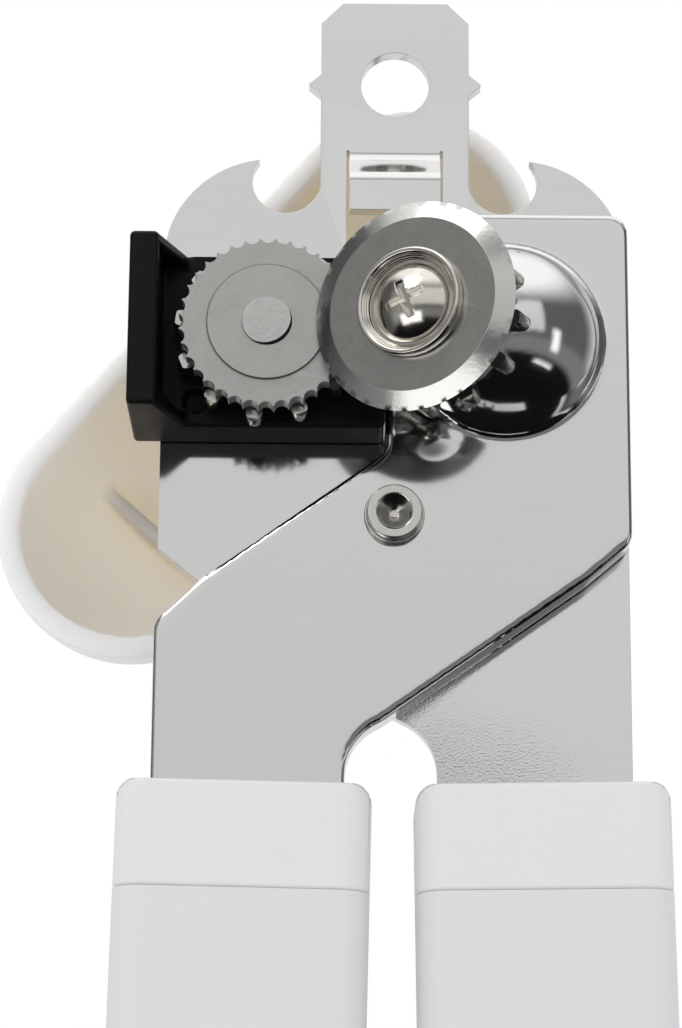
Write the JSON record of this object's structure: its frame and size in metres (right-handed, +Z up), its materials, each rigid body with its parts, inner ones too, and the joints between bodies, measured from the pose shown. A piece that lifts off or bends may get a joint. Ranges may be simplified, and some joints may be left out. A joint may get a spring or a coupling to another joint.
{
  "type": "manual can opener",
  "caption": "Hand-held can opener with a hinged cutter arm, a tilted cutter wheel geared to a serrated feed wheel, a turning knob and two plastic handles.",
  "frame": {"origin": "centre of the hang hole, on the middle plane of the rear plate", "axes": "+Z up along the tab, away from the handles; +X to the right seen from the cutter; the cutter faces -Y and the knob faces +Y"},
  "size_m": [0.077, 0.0532, 0.2121],
  "materials": {
    "chromed_sheet": "bright nickel-chrome plating over stamped sheet, with faint horizontal rolling lines",
    "bright_steel": "bright nickel plating",
    "sintered_steel": "dull grey, slightly porous",
    "cutter_steel": "turned face with a ground bevel",
    "black_plastic": "moulded, finely grained",
    "white_plastic": "moulded, satin",
    "ivory_plastic": "moulded, softly shiny",
    "insert_brass": "turned"
  },
  "bodies": {
    "opener_frame": {"rear_plate": "chromed_sheet", "rim_guide": "black_plastic", "guide_rivets": "bright_steel", "feed_bushing": "sintered_steel", "pivot_rivet": "bright_steel", "pivot_spacer": "bright_steel", "pivot_washer": "bright_steel", "right_handle_collar": "white_plastic", "right_handle_grip": "white_plastic"},
    "cutter_arm": {"front_plate": "chromed_sheet", "cutter_screw": "bright_steel", "cutter_washer": "bright_steel", "cutter_nut": "bright_steel", "left_handle_collar": "white_plastic", "left_handle_grip": "white_plastic"},
    "feed_drive": {"feed_wheel": "sintered_steel", "feed_gear": "bright_steel", "feed_shaft": "sintered_steel", "thrust_washer": "bright_steel", "knob_washer": "bright_steel", "knob_shell": "ivory_plastic", "knob_insert": "insert_brass", "knob_screw": "bright_steel"},
    "cutter_head": {"cutter_wheel": "cutter_steel", "cutter_hub": "bright_steel", "cutter_spacer": "bright_steel", "cutter_gear": "bright_steel"}
  },
  "joints": [
    {"name": "handle_pivot", "type": "hinge", "parent": "opener_frame", "child": "cutter_arm", "pos_m": [0, 0, -0.0535], "axis": [0, 1, 0], "range_deg": [0, 40]},
    {"name": "knob_spin", "type": "hinge", "parent": "opener_frame", "child": "feed_drive", "pos_m": [-0.0142, 0, -0.0338], "axis": [0, 1, 0], "continuous": true},
    {"name": "cutter_spin", "type": "hinge", "parent": "cutter_arm", "child": "cutter_head", "pos_m": [0.0019, -0.02002, -0.0338], "axis": [0.4384, 0.8988, 0], "continuous": true}
  ],
  "couplings": [
    {"joint": "cutter_spin", "follows": "knob_spin", "ratio": -1}
  ]
}
